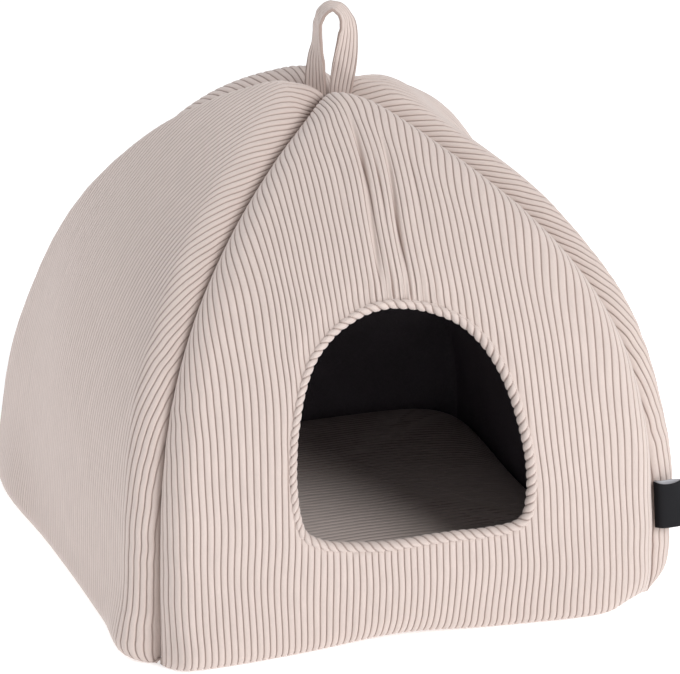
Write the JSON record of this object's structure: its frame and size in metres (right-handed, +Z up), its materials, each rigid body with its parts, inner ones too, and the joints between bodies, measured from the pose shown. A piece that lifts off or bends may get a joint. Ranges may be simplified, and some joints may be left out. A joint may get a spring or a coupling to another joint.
{
  "type": "padded corduroy cat cave",
  "caption": "Pointed cave of four padded, ribbed walls with an arched, bound doorway, a dark lining, a crowned floor cushion and a hanging loop.",
  "frame": {"origin": "on the surface that the cave stands on, in the middle of its floor", "axes": "+X to the right of the doorway as seen from outside, -Y the way that the doorway faces, +Z up through the point where the walls meet"},
  "size_m": [0.4118, 0.4101, 0.3985],
  "materials": {
    "corduroy": "wide-wale corduroy, soft pile",
    "binding_cloth": "twisted bias-cut corduroy",
    "lining_cloth": "dark smooth cloth",
    "base_cloth": "dark non-woven cloth",
    "tab_cloth": "black satin ribbon, blank"
  },
  "bodies": {
    "root": {"wall_front": "corduroy", "wall_right": "corduroy", "wall_back": "corduroy", "wall_left": "corduroy", "lining": "lining_cloth", "doorway_binding": "binding_cloth", "floor_cushion": "corduroy", "base": "base_cloth", "hanging_loop": "corduroy", "seam_tab": "tab_cloth"}
  },
  "joints": []
}
